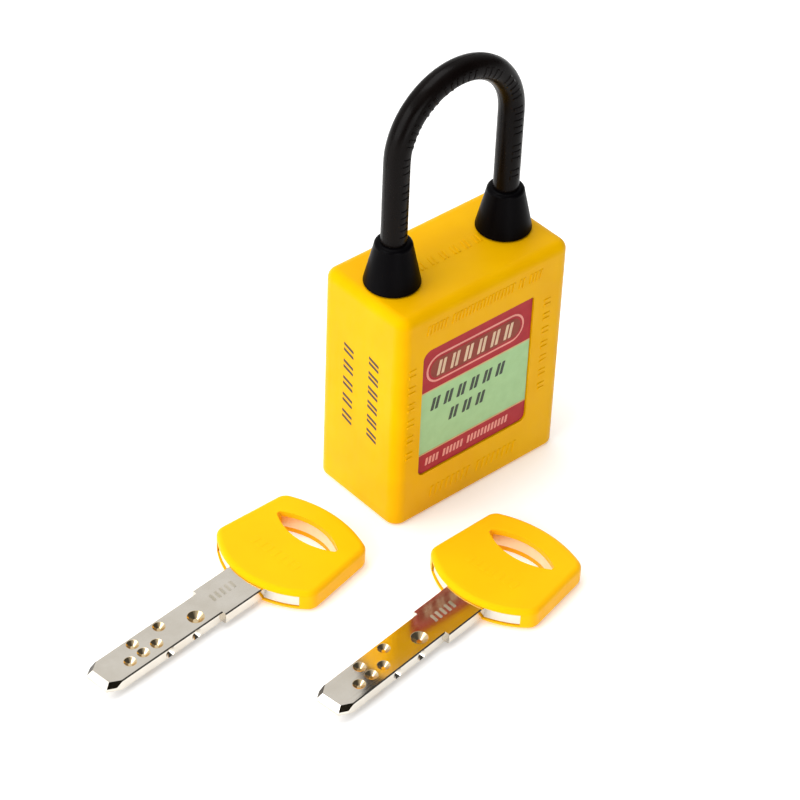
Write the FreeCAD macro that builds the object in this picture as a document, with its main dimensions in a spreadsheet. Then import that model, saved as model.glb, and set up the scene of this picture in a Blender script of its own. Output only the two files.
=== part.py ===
"""Keyed safety padlock with a nylon body and shackle, and its two dimple keys.

Millimetres, +Z up. The origin is the centre of the body's bottom face, X runs along the body's
width through both shackle legs, and the labelled front face looks towards -Y. The heel leg, which
stays in the body, is at -X, and the toe leg, which comes free, is at +X.

The key turns the plug and the cam a quarter turn. The cam's flat sides then let the two bolts
slide inwards, and the bevels in the shackle's legs push them in as the shackle rises.
"""
import FreeCAD, Part
import math
import os

import Sketcher
from FreeCAD import Placement, Rotation, Vector

DIMENSIONS = (
    # body
    ("body_width", 38.0), ("body_depth", 20.5), ("body_height", 44.5),
    ("corner_round", 2.3), ("top_round", 1.9), ("base_round", 0.9), ("body_wall", 1.8),
    ("coring_from_x", 9.5), ("coring_from_y", 5.6),
    # label and its shallow recess on the front
    ("label_left", -14.0), ("label_right", 11.0), ("label_low", 9.2), ("label_high", 36.3),
    ("label_round_low", 1.3), ("label_round_right", 0.6), ("label_round_left", 1.8),
    ("label_thick", 0.2), ("recess_deep", 0.5), ("label_gap", 0.15),
    # shackle, and the bores that it slides in
    ("shackle_dia", 4.5), ("leg_spacing", 25.0), ("leg_straight", 24.0), ("leg_gap", 0.07),
    ("heel_end", 12.0), ("toe_end", 33.0), ("shackle_lift", 12.0), ("leg_end_round", 0.6),
    ("well_dia", 7.8), ("well_spare", 2.0), ("notch_gap", 0.25), ("notch_floor_gap", 0.15),
    # retaining ring and lifting spring on the heel leg
    ("clip_dia", 7.2), ("clip_hole", 3.5), ("clip_thick", 0.8), ("clip_mouth", 2.4),
    ("clip_up", 1.0), ("clip_groove", 0.9), ("clip_neck", 3.4),
    ("lift_wire", 0.5), ("lift_coil", 3.5), ("lift_turns", 7.0), ("lift_end_gap", 0.3),
    ("spring_post_dia", 2.6), ("spring_post_high", 1.0),
    # conical boots pressed on the legs
    ("boot_base_dia", 9.8), ("boot_rim_dia", 6.6), ("boot_height", 8.5), ("boot_hole_gap", 0.01),
    ("boot_foot_round", 0.4), ("boot_rim_round", 0.9), ("boot_gap", 0.05),
    ("spigot_dia", 6.8), ("spigot_deep", 1.5), ("spigot_gap", 0.1),
    # base cover
    ("cover_thick", 2.0), ("cover_recess", 0.1), ("cover_round", 0.8), ("fit_gap", 0.05),
    # lock cylinder's housing
    ("face_recess", 0.3), ("barrel_dia", 14.1), ("barrel_top", 24.0), ("nose_dia", 12.8),
    ("nose_high", 3.0), ("stack_out", 11.0), ("stack_width", 7.0), ("stack_shift", 0.4),
    ("stack_gap", 0.1), ("stack_lid_thick", 0.7), ("stack_lid_rim", 0.6),
    # ear and the screw that holds the housing
    ("ear_thick", 3.4), ("ear_beyond", 2.7), ("shelf_thick", 2.2), ("screw_dia", 2.3),
    ("screw_way_dia", 2.8), ("screw_head_dia", 4.2), ("screw_head_high", 1.6),
    ("screw_slot_wide", 0.6), ("screw_slot_deep", 0.7),
    # plug, with its keyway, tail and ring
    ("plug_dia", 10.0), ("plug_top", 26.8), ("plug_gap", 0.05), ("flange_dia", 11.2),
    ("flange_thick", 1.0), ("keyway_gap", 0.1), ("keyway_spare", 0.3),
    ("tail_side", 3.6), ("tail_high", 6.3), ("tail_root", 0.5),
    ("ring_up", 0.15), ("ring_dia", 11.6), ("ring_hole", 8.7), ("ring_thick", 0.5),
    ("ring_mouth", 3.0), ("ring_groove", 0.6), ("ring_neck", 8.6),
    # pins
    ("pin_dia", 2.0), ("pin_gap", 0.08), ("pin_tip", 0.6), ("pin_taper", 0.7), ("pin_tip_dia", 0.7),
    ("shear_gap", 0.08), ("driver_to_face", 3.4), ("pin_wire", 0.24), ("pin_coil", 1.5),
    ("pin_pitch", 0.6), ("pin_spring_long", 2.1), ("pin_spring_gap", 0.17),
    # bolts, their frame and their spring
    ("frame_top", 41.6), ("frame_gap", 0.1), ("bolt_low", 35.4), ("bolt_tall", 5.0),
    ("bolt_wide", 5.0), ("bolt_inner", 5.9), ("bolt_travel", 4.0), ("bolt_bite", 1.1),
    ("bolt_gap", 0.1), ("nose_bevel", 0.9), ("bolt_spring_up", 3.75), ("spring_pocket_dia", 1.9),
    ("spring_pocket_deep", 1.6), ("spring_seat", 1.25), ("bolt_wire", 0.3), ("bolt_coil", 1.36),
    ("bolt_pitch", 1.3),
    # cam and its screw
    ("cam_low", 35.2), ("cam_thick", 2.7), ("cam_gap", 0.15), ("cam_corner_ease", 0.05),
    ("cam_room_dia", 12.2), ("cam_headroom", 0.3), ("hub_dia", 7.2), ("cam_hole", 2.0),
    ("cam_sink_dia", 2.8), ("cam_sink_deep", 1.0), ("cam_screw_dia", 1.6),
    ("cam_screw_thread", 1.7), ("cam_screw_deep", 3.4), ("cam_screw_spare", 0.7),
    ("cam_head_dia", 2.6), ("cam_head_high", 0.9), ("cam_slot_wide", 0.5), ("cam_slot_deep", 0.4),
    # keys, measured from the middle of the bow's blade-side edge along the blade
    ("key_thick", 2.2), ("blade_width", 6.4), ("shank_width", 8.0), ("shank_long", 8.1),
    ("blade_long", 25.3), ("tip_half", 2.3), ("tip_long", 1.5), ("tip_bevel", 0.8),
    ("nose_long", 0.95), ("nose_thick", 0.5), ("edge_bevel", 0.2),
    ("head_neck", 0.75), ("head_mid", 1.9), ("head_mid_half", 7.0), ("head_near", 3.5),
    ("head_near_half", 9.6), ("head_far", 11.4), ("head_far_half", 8.6), ("head_gap", 0.1),
    ("dimple_pitch", 2.95), ("first_dimple", 3.95), ("far_row", 1.7), ("near_row", -0.9),
    ("dimple_deep", 0.65), ("dimple_mouth", 2.2), ("large_deep", 0.9), ("large_mouth", 3.0),
    ("side_notch_on", 2.0), ("side_notch_deep", 0.65), ("side_notch_mouth", 2.0),
    ("side_notch_floor", 0.6),
    ("bow_thick", 4.2), ("bow_long", 21.9), ("bow_round", 1.0), ("bow_corner_round", 2.4),
    ("bow_near", 5.0), ("bow_near_half", 11.6), ("bow_far", 19.5), ("bow_far_half", 10.0),
    ("slot_near", 12.7), ("slot_end_near", 14.8), ("slot_end_far", 15.5), ("slot_far", 17.65),
    ("slot_half", 6.9),
    ("key_1_angle", 6.2), ("key_1_across", -48.95), ("key_1_back", -6.4),
    ("key_2_angle", 7.6), ("key_2_across", -23.55), ("key_2_back", -32.95),
    # how far a cutting tool runs past the face that it cuts
    ("tool_over", 0.5),
)

# A dimple's station counts pitches from the first one, and its row is one of the two pin rows.
DIMPLES = (
    (0, "near_row", True), (2, "far_row", False), (3, "near_row", False),
    (4, "far_row", False), (4, "near_row", False), (5, "near_row", False),
)
SIDE_NOTCHES = (0, 2)               # stations of the notches in the blade's edges
UP = Vector(0, 0, 1)
ACROSS = Vector(1, 0, 0)
HALF_ARC = 1 - math.sqrt(0.5)       # where a quarter arc's middle lies, as a share of its radius
DIMPLE_FLOOR = 0.3                  # a dimple's floor, as a share of its mouth
SAME_PLACE = 1e-4                   # points closer than this count as one point

doc = FreeCAD.newDocument("safety_padlock")
sheet = doc.addObject("Spreadsheet::Sheet", "dims")


class Size:
    """A length that knows its value and the sheet expression that it comes from."""

    def __init__(self, value, text):
        self.value = value
        self.text = text

    def join(self, other, sign, value):
        return Size(value, "(%s %s %s)" % (self.text, sign, as_size(other).text))

    def __add__(self, other):
        return self.join(other, "+", self.value + as_size(other).value)

    def __sub__(self, other):
        return self.join(other, "-", self.value - as_size(other).value)

    def __radd__(self, other):
        return as_size(other) + self

    def __rsub__(self, other):
        return as_size(other) - self

    def __mul__(self, factor):
        return self.join(factor, "*", self.value * as_size(factor).value)

    def __truediv__(self, divisor):
        return self.join(divisor, "/", self.value / as_size(divisor).value)

    def __neg__(self):
        return self * -1


def as_size(value):
    return value if isinstance(value, Size) else Size(value, "%.6g" % value)


def fill_sheet():
    """Writes the driving dimensions to the sheet and returns them by name."""
    sizes = {}
    for row, (name, value) in enumerate(DIMENSIONS, start=1):
        sheet.set("A%d" % row, name)
        sheet.set("B%d" % row, str(value))
        sheet.setAlias("B%d" % row, name)
        sizes[name] = Size(value, "dims." + name)
    doc.recompute()
    return sizes


dim = fill_sheet()
nodes = {}


# ---- helpers: every size that they take is bound to the sheet --------------------------------

def bind(item, name, size):
    item.setExpression(name, as_size(size).text)


def place(item, x=0, y=0, z=0, axis=UP, turn=None):
    """Turns an object's own Z to axis, or by turn, and binds its place to the sheet."""
    item.Placement = Placement(Vector(), turn or Rotation(UP, axis))
    for letter, size in zip("xyz", (x, y, z)):
        bind(item, "Placement.Base." + letter, size)
    return item


def keep(label, item):
    """Names a finished sub-part."""
    item.Label = label
    nodes[label] = item
    return item


def cylinder(name, radius, height, x=0, y=0, z=0, axis=UP):
    item = doc.addObject("Part::Cylinder", name)
    bind(item, "Radius", radius)
    bind(item, "Height", height)
    return place(item, x, y, z, axis)


def cone(name, radius_low, radius_high, height, x=0, y=0, z=0, axis=UP):
    item = doc.addObject("Part::Cone", name)
    bind(item, "Radius1", radius_low)
    bind(item, "Radius2", radius_high)
    bind(item, "Height", height)
    return place(item, x, y, z, axis)


def box(name, low, high):
    """A box between two corners."""
    item = doc.addObject("Part::Box", name)
    for side, start, end in zip(("Length", "Width", "Height"), low, high):
        bind(item, side, as_size(end) - start)
    return place(item, *low)


def fuse(name, *shapes):
    item = doc.addObject("Part::MultiFuse", name)
    item.Shapes = list(shapes)
    item.Refine = True
    return item


def cut(name, base, *tools):
    item = doc.addObject("Part::Cut", name)
    item.Base = base
    item.Tool = tools[0] if len(tools) == 1 else fuse(name + "_tools", *tools)
    item.Refine = True
    return item


def common(name, base, tool):
    item = doc.addObject("Part::Common", name)
    item.Base = base
    item.Tool = tool
    return item


def group(name, shapes):
    item = doc.addObject("Part::Compound", name)
    item.Links = list(shapes)
    return item


def new_body(name):
    return doc.addObject("PartDesign::Body", name)


def new_sketch(body, name, role="XY_Plane", offset=0):
    """A sketch on one of the body's own origin planes, moved along the plane's normal."""
    sketch = body.newObject("Sketcher::SketchObject", body.Name + "_" + name)
    plane = next(f for f in body.Origin.OriginFeatures if f.Role == role)
    sketch.AttachmentSupport = [(plane, "")]
    sketch.MapMode = "FlatFace"
    bind(sketch, "AttachmentOffset.Base.z", offset)
    return sketch


def hold(sketch, constraint, size):
    """Adds a constraint with a value and binds the value to the sheet."""
    index = sketch.addConstraint(constraint)
    sketch.renameConstraint(index, "size%d" % index)
    sketch.setExpression("Constraints.size%d" % index, size.text)


def pin_point(sketch, geometry, end, point):
    """Holds one end of a piece of geometry at a point."""
    kinds = (("DistanceX", -2), ("DistanceY", -1))
    for (kind, axis), coordinate in zip(kinds, point):
        size = as_size(coordinate)
        if size.value == 0:
            sketch.addConstraint(Sketcher.Constraint("PointOnObject", geometry, end, axis))
        else:
            hold(sketch, Sketcher.Constraint(kind, -1, 1, geometry, end, size.value), size)


def flat(point):
    return Vector(as_size(point[0]).value, as_size(point[1]).value, 0)


def outline(sketch, start, *steps, closed=True):
    """Lines and arcs from start: a step is (end,) for a line or (through, end) for an arc."""
    here = start
    first = None
    last = None
    for number, step in enumerate(steps):
        end = step[-1]
        if len(step) == 1:
            piece = sketch.addGeometry(Part.LineSegment(flat(here), flat(end)), False)
            ends = (1, 2)
        else:
            arc = Part.Arc(flat(here), flat(step[0]), flat(end))
            piece = sketch.addGeometry(arc, False)
            begins = (sketch.getPoint(piece, 1) - flat(here)).Length < SAME_PLACE
            ends = (1, 2) if begins else (2, 1)
            mark = sketch.addGeometry(Part.Point(flat(step[0])), True)
            sketch.addConstraint(Sketcher.Constraint("PointOnObject", mark, 1, piece))
            pin_point(sketch, mark, 1, step[0])
        if last is None:
            first = (piece, ends[0])
            pin_point(sketch, piece, ends[0], start)
        else:
            sketch.addConstraint(Sketcher.Constraint("Coincident", *last, piece, ends[0]))
        last = (piece, ends[1])
        if closed and number == len(steps) - 1:
            sketch.addConstraint(Sketcher.Constraint("Coincident", *last, *first))
        else:
            pin_point(sketch, piece, ends[1], end)
        here = end


def circle(sketch, radius, x=0, y=0):
    radius = as_size(radius)
    piece = sketch.addGeometry(Part.Circle(flat((x, y)), UP, radius.value), False)
    pin_point(sketch, piece, 3, (x, y))
    hold(sketch, Sketcher.Constraint("Radius", piece, radius.value), radius)


def rounded_rectangle(sketch, low, high, rounds):
    """A rectangle from low to high, with a corner radius for each corner from low round to high."""
    (left, bottom), (right, top) = low, high
    corners = ((left, bottom, 1, 1), (right, bottom, -1, 1), (right, top, -1, -1), (left, top, 1, -1))
    turns = []
    for (x, y, inward_x, inward_y), radius in zip(corners, rounds):
        x, y, radius = as_size(x), as_size(y), as_size(radius)
        beside = (x + radius * inward_x, y)
        above = (x, y + radius * inward_y)
        middle = (x + radius * (inward_x * HALF_ARC), y + radius * (inward_y * HALF_ARC))
        turns.append((above, middle, beside) if inward_x == inward_y else (beside, middle, above))
    steps = [(turns[0][1], turns[0][2])]
    for before, middle, after in turns[1:]:
        steps += [(before,), (middle, after)]
    outline(sketch, turns[0][0], *steps, (turns[0][0],))


def extrude(body, kind, sketch, length, reverse=False, symmetric=False):
    """A Pad or a Pocket. Unreversed, a Pad goes along the sketch's normal, a Pocket against it."""
    item = body.newObject("PartDesign::" + kind, sketch.Name + "_" + kind.lower())
    item.Profile = sketch
    if symmetric:
        item.SideType = "Symmetric"
    item.Reversed = reverse
    bind(item, "Length", length)
    return item


def revolve(body, sketch):
    """A Revolution about the sketch's vertical axis."""
    item = body.newObject("PartDesign::Revolution", sketch.Name + "_revolution")
    item.Profile = sketch
    item.ReferenceAxis = (sketch, ["V_Axis"])
    item.Angle = 360
    return item


def dress(body, kind, base, test, size):
    """A Fillet or a Chamfer on each edge of base whose points all pass the test."""
    doc.recompute()
    edges = []
    for number, edge in enumerate(base.Shape.Edges, start=1):
        points = edge.discretize(5)
        if all(test(point) for point in points):
            edges.append("Edge%d" % number)
    item = body.newObject("PartDesign::" + kind, "%s_%s" % (base.Name, kind.lower()))
    item.Base = (base, edges)
    bind(item, "Radius" if kind == "Fillet" else "Size", size)
    return item


def near(value, target):
    return abs(value - as_size(target).value) < SAME_PLACE


def coil(name, wire, radius, pitch, length, x=0, y=0, z=0, axis=UP):
    """A compression spring that starts at a point and runs along an axis."""
    path = doc.addObject("Part::Helix", name + "_path")
    bind(path, "Radius", radius)
    bind(path, "Pitch", pitch)
    bind(path, "Height", length)
    section = doc.addObject("Part::Circle", name + "_section")
    bind(section, "Radius", wire)
    place(section, x=radius, axis=Vector(0, -1, 0))
    item = doc.addObject("Part::Sweep", name)
    item.Sections = [section]
    item.Spine = (path, ["Edge1"])
    item.Solid = True
    item.Frenet = True
    return place(item, x, y, z, axis)


def ring(name, outer, inner, height, x, z, gap):
    """A flat retaining ring with a gap towards +Y."""
    disc = cylinder(name + "_disc", outer, height, x=x, z=z)
    hole = cylinder(name + "_hole", inner, height, x=x, z=z)
    half = as_size(gap) / 2
    opening = box(name + "_opening", (x - half, 0, z), (x + half, outer, as_size(z) + height))
    return cut(name, disc, hole, opening)


# ---- sizes that several sub-parts share ------------------------------------------------------

half_width = dim["body_width"] / 2
half_depth = dim["body_depth"] / 2
top = dim["body_height"]
leg_radius = dim["shackle_dia"] / 2
leg_x = dim["leg_spacing"] / 2
bore_radius = leg_radius + dim["leg_gap"]
cover_top = dim["cover_recess"] + dim["cover_thick"]
plug_radius = dim["plug_dia"] / 2
pin_radius = dim["pin_dia"] / 2
bore_of_pin = pin_radius + dim["pin_gap"]
barrel_radius = dim["barrel_dia"] / 2
stack_low = dim["stack_shift"] - dim["stack_width"] / 2
stack_high = dim["stack_shift"] + dim["stack_width"] / 2
stack_start = cover_top + dim["fit_gap"] * 2
driver_end = dim["stack_out"] - dim["driver_to_face"]
ear_low = dim["barrel_top"] - dim["ear_thick"]
ear_out = leg_x + dim["ear_beyond"]
screw_shelf = dim["barrel_top"] + dim["shelf_thick"]
tail_top = dim["plug_top"] + dim["tail_high"]
bolt_top = dim["bolt_low"] + dim["bolt_tall"]
bolt_side = dim["bolt_wide"] / 2 + dim["fit_gap"]
way_low = dim["bolt_low"] - dim["bolt_gap"]
way_high = bolt_top + dim["bolt_gap"]
cam_top = dim["cam_low"] + dim["cam_thick"]
lobe_reach = dim["bolt_inner"] - dim["cam_gap"]
bite_x = leg_x - leg_radius + dim["bolt_bite"]
slope = dim["shackle_lift"] / dim["bolt_travel"]    # of the bevels: what the legs rise per slide
spring_z = dim["bolt_low"] + dim["bolt_spring_up"]


# ---- body ------------------------------------------------------------------------------------

def label_area(sketch, gap):
    """The label's outline on the front face, inside its recess by a gap."""
    low = (dim["label_left"] + gap, dim["label_low"] + gap)
    high = (dim["label_right"] - gap, dim["label_high"] - gap)
    rounds = [dim["label_round_" + side] for side in ("low", "low", "right", "left")]
    rounded_rectangle(sketch, low, high, rounds)


def shell_block():
    """The outside of the body: a rounded block with the label's recess."""
    body = new_body("shell_block")
    plan = new_sketch(body, "plan")
    rounded_rectangle(plan, (-half_width, -half_depth), (half_width, half_depth),
                      [dim["corner_round"]] * 4)
    block = extrude(body, "Pad", plan, top)
    block = dress(body, "Fillet", block, lambda point: near(point.z, top), dim["top_round"])
    dress(body, "Fillet", block, lambda point: near(point.z, 0), dim["base_round"])
    recess = new_sketch(body, "recess", "XZ_Plane", half_depth)
    label_area(recess, 0)
    extrude(body, "Pocket", recess, dim["recess_deep"])
    return body


def coring():
    """Four pockets from below, beside the lock, that keep the moulding's walls even."""
    far_x = half_width - dim["body_wall"]
    far_y = half_depth - dim["body_wall"]
    spans_x = ((-far_x, -dim["coring_from_x"]), (dim["coring_from_x"], far_x))
    spans_y = ((-far_y, -dim["coring_from_y"]), (dim["coring_from_y"], far_y))
    high = top - dim["body_wall"] - dim["top_round"]
    pockets = []
    for start_x, end_x in spans_x:
        for start_y, end_y in spans_y:
            name = "coring_%d" % len(pockets)
            pockets.append(box(name, (start_x, start_y, 0), (end_x, end_y, high)))
    return pockets


def build_shell():
    cover_x = half_width - dim["body_wall"]
    cover_y = half_depth - dim["body_wall"]
    gap = dim["stack_gap"]
    seat_z = top - dim["spigot_deep"]
    seat_radius = dim["spigot_dia"] / 2 + dim["spigot_gap"]
    well_top = dim["heel_end"] + dim["shackle_lift"] + dim["well_spare"]
    tools = [
        box("cover_seat", (-cover_x, -cover_y, 0), (cover_x, cover_y, cover_top + dim["fit_gap"])),
        cylinder("lock_chamber", barrel_radius + dim["frame_gap"],
                 dim["frame_top"] + dim["frame_gap"]),
        box("stack_slot", (0, stack_low - gap, 0),
            (ear_out + gap, stack_high + gap, dim["barrel_top"] + gap)),
        box("bolt_window", (-leg_x, -bolt_side, way_low), (leg_x, bolt_side, way_high)),
        cylinder("heel_well", dim["well_dia"] / 2, well_top, x=-leg_x),
        cylinder("heel_bore", bore_radius, top, x=-leg_x),
        cylinder("toe_bore", bore_radius, top - screw_shelf, x=leg_x, z=screw_shelf),
        cylinder("screw_way", dim["screw_way_dia"] / 2, screw_shelf, x=leg_x),
        cylinder("heel_seat", seat_radius, dim["spigot_deep"], x=-leg_x, z=seat_z),
        cylinder("toe_seat", seat_radius, dim["spigot_deep"], x=leg_x, z=seat_z),
    ]
    keep("body_shell", cut("body_shell", shell_block(), *tools, *coring()))


def build_cover():
    """The inset plate that closes the body from below, with a post for the shackle's spring."""
    body = new_body("base_cover")
    edge_x = half_width - dim["body_wall"] - dim["fit_gap"]
    edge_y = half_depth - dim["body_wall"] - dim["fit_gap"]
    plan = new_sketch(body, "plan", offset=dim["cover_recess"])
    rounded_rectangle(plan, (-edge_x, -edge_y), (edge_x, edge_y), [dim["cover_round"]] * 4)
    extrude(body, "Pad", plan, dim["cover_thick"])
    post = new_sketch(body, "post", offset=dim["cover_recess"])
    circle(post, dim["spring_post_dia"] / 2, x=-leg_x)
    extrude(body, "Pad", post, dim["cover_thick"] + dim["spring_post_high"])
    face = new_sketch(body, "face")
    circle(face, dim["nose_dia"] / 2 + dim["fit_gap"])
    extrude(body, "Pocket", face, stack_start, reverse=True)
    keep("base_cover", body)


def build_label():
    """The warning label on the floor of its recess."""
    body = new_body("warning_label")
    area = new_sketch(body, "area", "XZ_Plane", half_depth - dim["recess_deep"])
    label_area(area, dim["label_gap"])
    extrude(body, "Pad", area, dim["label_thick"])
    keep("warning_label", body)


def build_boot(label, x):
    """A conical rubber collar pressed on one leg, with a spigot that seals the body's bore."""
    body = new_body(label)
    half = new_sketch(body, "half", "XZ_Plane")
    inner = leg_radius + dim["boot_hole_gap"]
    base = dim["boot_base_dia"] / 2
    rim = dim["boot_rim_dia"] / 2
    spigot = dim["spigot_dia"] / 2
    high = dim["boot_height"]
    foot = dim["boot_foot_round"]
    lip = dim["boot_rim_round"]
    outline(half, (inner, -dim["spigot_deep"]),
            ((spigot, -dim["spigot_deep"]),), ((spigot, 0),), ((base - foot, 0),),
            ((base - foot * HALF_ARC, foot * HALF_ARC), (base, foot)), ((rim, high - lip),),
            ((rim - lip * HALF_ARC, high - lip * HALF_ARC), (rim - lip, high)), ((inner, high),),
            ((inner, -dim["spigot_deep"]),))
    revolve(body, half)
    place(body, x=x, z=top + dim["boot_gap"])
    keep(label, body)


# ---- shackle ---------------------------------------------------------------------------------

def bite_notch(name, side):
    """The bevelled notch in one leg that takes a bolt's nose, cut right across the leg."""
    body = new_body(name)
    profile = new_sketch(body, "profile", "XZ_Plane")
    over = dim["tool_over"]
    surface = leg_x - leg_radius
    outside = surface - over
    floor = bite_x + dim["notch_floor_gap"]
    lip = dim["bolt_low"] - dim["notch_gap"]
    high = bolt_top + dim["notch_gap"]
    start = (outside * side, lip - over * slope)
    outline(profile, start, ((floor * side, lip + (floor - surface) * slope),),
            ((floor * side, high),), ((outside * side, high),), (start,))
    extrude(body, "Pad", profile, dim["shackle_dia"] * 2, symmetric=True)
    return body


def build_shackle():
    """The U-shaped rod with its bite notches, and the ring and spring on its heel leg."""
    body = new_body("shackle_rod")
    springing = top + dim["leg_straight"]
    section = new_sketch(body, "section", offset=dim["heel_end"])
    circle(section, leg_radius, x=-leg_x)
    path = new_sketch(body, "path", "XZ_Plane")
    outline(path, (-leg_x, dim["heel_end"]), ((-leg_x, springing),),
            ((0, springing + leg_x), (leg_x, springing)), ((leg_x, dim["toe_end"]),), closed=False)
    rod = body.newObject("PartDesign::AdditivePipe", "shackle_pipe")
    rod.Profile = section
    rod.Spine = (path, [])
    ends = (dim["toe_end"], dim["heel_end"])
    dress(body, "Fillet", rod, lambda point: any(near(point.z, end) for end in ends),
          dim["leg_end_round"])
    groove_z = dim["heel_end"] + dim["clip_up"]
    groove = cut("clip_groove",
                 cylinder("groove_disc", dim["shackle_dia"], dim["clip_groove"], -leg_x, 0, groove_z),
                 cylinder("groove_neck", dim["clip_neck"] / 2, dim["clip_groove"], -leg_x, 0,
                          groove_z))
    keep("shackle", cut("shackle", body, bite_notch("heel_notch", -1), bite_notch("toe_notch", 1),
                        groove))
    keep("shackle_clip", ring("shackle_clip", dim["clip_dia"] / 2, dim["clip_hole"] / 2,
                              dim["clip_thick"], -leg_x, groove_z + dim["fit_gap"],
                              dim["clip_mouth"]))
    foot = cover_top + dim["lift_end_gap"]
    length = dim["heel_end"] - foot - dim["lift_end_gap"]
    keep("shackle_spring", coil("shackle_spring", dim["lift_wire"] / 2, dim["lift_coil"] / 2,
                                length / dim["lift_turns"], length, x=-leg_x, z=foot))


# ---- lock cylinder ---------------------------------------------------------------------------

def pin_places():
    """Each pin's number, y and z, with the key's shoulder against the plug's face."""
    first = dim["face_recess"] + dim["first_dimple"]
    return [(number, dim[row], first + dim["dimple_pitch"] * station)
            for number, (station, row, _) in enumerate(DIMPLES)]


def pin_bores(name, start, end):
    return [cylinder("%s_%d" % (name, number), bore_of_pin, as_size(end) - start, start, y, z, ACROSS)
            for number, y, z in pin_places()]


def build_housing():
    """The brass barrel with the pin stack and the ear for its retaining screw."""
    out = dim["stack_out"]
    lid_seat = out - dim["stack_lid_thick"] - dim["fit_gap"] * 2
    rim = dim["stack_lid_rim"]
    metal = fuse(
        "housing_metal",
        cylinder("housing_nose", dim["nose_dia"] / 2, dim["nose_high"], z=dim["face_recess"]),
        cylinder("housing_barrel", barrel_radius, dim["barrel_top"] - stack_start, z=stack_start),
        box("pin_stack", (0, stack_low, stack_start), (out, stack_high, dim["barrel_top"])),
        box("screw_ear", (out, stack_low, ear_low), (ear_out, stack_high, dim["barrel_top"])))
    tools = [
        cylinder("plug_bore", plug_radius + dim["plug_gap"], dim["barrel_top"]),
        cylinder("flange_seat", dim["flange_dia"] / 2 + dim["plug_gap"],
                 dim["face_recess"] + dim["flange_thick"] + dim["fit_gap"]),
        box("stack_lid_seat", (lid_seat, stack_low + rim, 0), (out, stack_high - rim, ear_low)),
        cylinder("screw_thread", dim["screw_dia"] / 2 + dim["fit_gap"],
                 dim["ear_thick"] + dim["tool_over"], x=leg_x, z=ear_low),
    ]
    bores = pin_bores("stack_bore", plug_radius / 2, out)
    keep("cylinder_housing", cut("cylinder_housing", metal, *tools, *bores))
    inset = rim + dim["fit_gap"]
    keep("pin_stack_cover",
         box("pin_stack_cover",
             (lid_seat + dim["fit_gap"], stack_low + inset, stack_start + dim["fit_gap"]),
             (out - dim["fit_gap"], stack_high - inset, ear_low - dim["fit_gap"])))


def build_plug():
    """The turning plug with its keyway, pin bores and square tail, and the ring that keeps it."""
    half_slot = dim["key_thick"] / 2 + dim["keyway_gap"]
    slot_reach = dim["blade_width"] / 2 + dim["keyway_gap"]
    slot_top = dim["face_recess"] + dim["blade_long"] + dim["keyway_spare"]
    ring_z = dim["barrel_top"] + dim["ring_up"]
    tail_half = dim["tail_side"] / 2
    metal = fuse(
        "plug_metal",
        cylinder("plug_core", plug_radius, dim["plug_top"] - dim["face_recess"],
                 z=dim["face_recess"]),
        cylinder("plug_flange", dim["flange_dia"] / 2, dim["flange_thick"], z=dim["face_recess"]),
        box("plug_tail", (-tail_half, -tail_half, dim["plug_top"] - dim["tail_root"]),
            (tail_half, tail_half, tail_top)))
    groove = cut("ring_groove", cylinder("ring_disc", dim["plug_dia"], dim["ring_groove"], z=ring_z),
                 cylinder("ring_neck", dim["ring_neck"] / 2, dim["ring_groove"], z=ring_z))
    keyway = box("keyway", (-half_slot, -slot_reach, 0), (half_slot, slot_reach, slot_top))
    screw_hole = cylinder("cam_screw_hole", dim["cam_screw_thread"] / 2,
                          dim["cam_screw_deep"] + dim["tool_over"],
                          z=tail_top - dim["cam_screw_deep"])
    bores = pin_bores("plug_bore", 0, plug_radius + dim["tool_over"])
    keep("key_plug", cut("key_plug", metal, groove, keyway, screw_hole, *bores))
    keep("plug_circlip", ring("plug_circlip", dim["ring_dia"] / 2, dim["ring_hole"] / 2,
                              dim["ring_thick"], 0, ring_z + dim["fit_gap"], dim["ring_mouth"]))


def build_pins():
    """Key pins held at the shear line, with their drivers and springs in the stack."""
    shear = cylinder("shear_inside", plug_radius - dim["shear_gap"], dim["plug_top"])
    beyond = cylinder("shear_outside", plug_radius + dim["plug_gap"] + dim["fit_gap"],
                      dim["plug_top"])
    shank_from = dim["pin_tip"] + dim["pin_taper"]
    driver_from = plug_radius / 2
    key_pins, drivers, springs = [], [], []
    for number, y, z in pin_places():
        shank = cylinder("pin_shank_%d" % number, pin_radius, plug_radius - shank_from,
                         shank_from, y, z, ACROSS)
        point = cone("pin_point_%d" % number, dim["pin_tip_dia"] / 2, pin_radius, dim["pin_taper"],
                     dim["pin_tip"], y, z, ACROSS)
        key_pins.append(common("key_pin_%d" % number, fuse("pin_%d" % number, shank, point), shear))
        blank = cylinder("driver_blank_%d" % number, pin_radius, driver_end - driver_from,
                         driver_from, y, z, ACROSS)
        drivers.append(cut("driver_pin_%d" % number, blank, beyond))
        springs.append(coil("pin_spring_%d" % number, dim["pin_wire"] / 2, dim["pin_coil"] / 2,
                            dim["pin_pitch"], dim["pin_spring_long"],
                            driver_end + dim["pin_spring_gap"], y, z, ACROSS))
    keep("key_pins", group("key_pins", key_pins))
    keep("driver_pins", group("driver_pins", drivers))
    keep("pin_springs", group("pin_springs", springs))


def slotted_screw(label, x, foot, seat, sizes):
    """A cheese-head screw that stands head up, from its foot to the seat under its head."""
    screw_dia, head_dia, head_high, slot_wide, slot_deep = (dim[name] for name in sizes)
    head_top = seat + head_high
    shank = cylinder(label + "_shank", screw_dia / 2, seat - foot, x=x, z=foot)
    head = cylinder(label + "_head", head_dia / 2, head_high, x=x, z=seat)
    slot = box(label + "_slot", (x - head_dia, -slot_wide / 2, head_top - slot_deep),
               (x + head_dia, slot_wide / 2, head_top + dim["tool_over"]))
    keep(label, cut(label, fuse(label + "_metal", shank, head), slot))


# ---- bolt work -------------------------------------------------------------------------------

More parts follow.
